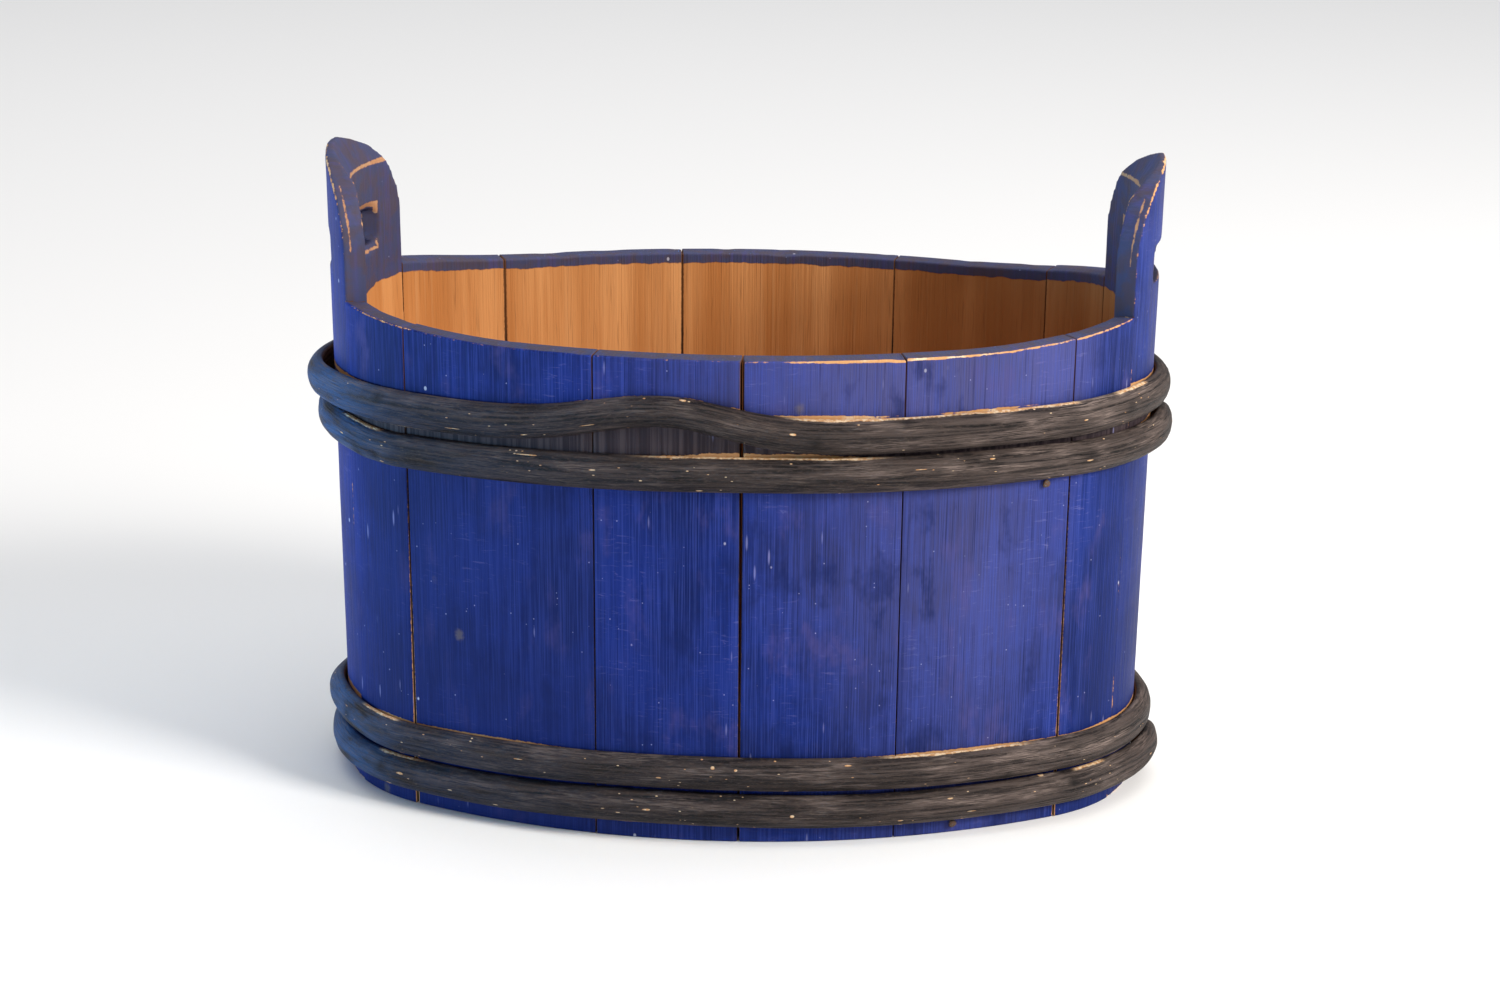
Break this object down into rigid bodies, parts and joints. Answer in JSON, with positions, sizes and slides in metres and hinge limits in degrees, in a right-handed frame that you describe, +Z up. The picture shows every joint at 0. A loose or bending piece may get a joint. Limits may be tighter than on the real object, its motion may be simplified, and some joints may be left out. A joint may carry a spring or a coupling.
{
  "type": "coopered wooden tub",
  "caption": "Oval staved wooden tub with tall ear staves pierced by hand slots, a grooved-in bottom and split-sapling hoops; painted outside, bare wood inside.",
  "frame": {"origin": "on the ground under the middle of the tub, at the bottom centre of its bounding box", "axes": "+X towards the right ear along the long side, -Y towards the front, +Z up"},
  "size_m": [0.6363, 0.3558, 0.47],
  "materials": {
    "stave_paint": "ultramarine paint on planed softwood, worn through to bare wood along edges and joints",
    "bare_wood": "bare aged softwood, dry and unfinished",
    "hoop_paint": "dark paint on split saplings with the bark on, rubbed and chipped",
    "nail_iron": "old forged iron, painted over and rusting"
  },
  "bodies": {
    "root": {"ear_stave_right": "stave_paint", "back_stave_1": "stave_paint", "back_stave_2": "stave_paint", "back_stave_3": "stave_paint", "back_stave_4": "stave_paint", "back_stave_5": "stave_paint", "ear_stave_left": "stave_paint", "front_stave_1": "stave_paint", "front_stave_2": "stave_paint", "front_stave_3": "stave_paint", "front_stave_4": "stave_paint", "front_stave_5": "stave_paint", "front_stave_6": "stave_paint", "bottom_board_front": "bare_wood", "bottom_board_middle": "bare_wood", "bottom_board_back": "bare_wood", "bottom_dowels": "bare_wood", "hoop_top_upper": "hoop_paint", "hoop_top_lower": "hoop_paint", "hoop_base_upper": "hoop_paint", "hoop_base_lower": "hoop_paint", "hoop_nails": "nail_iron"}
  },
  "joints": []
}
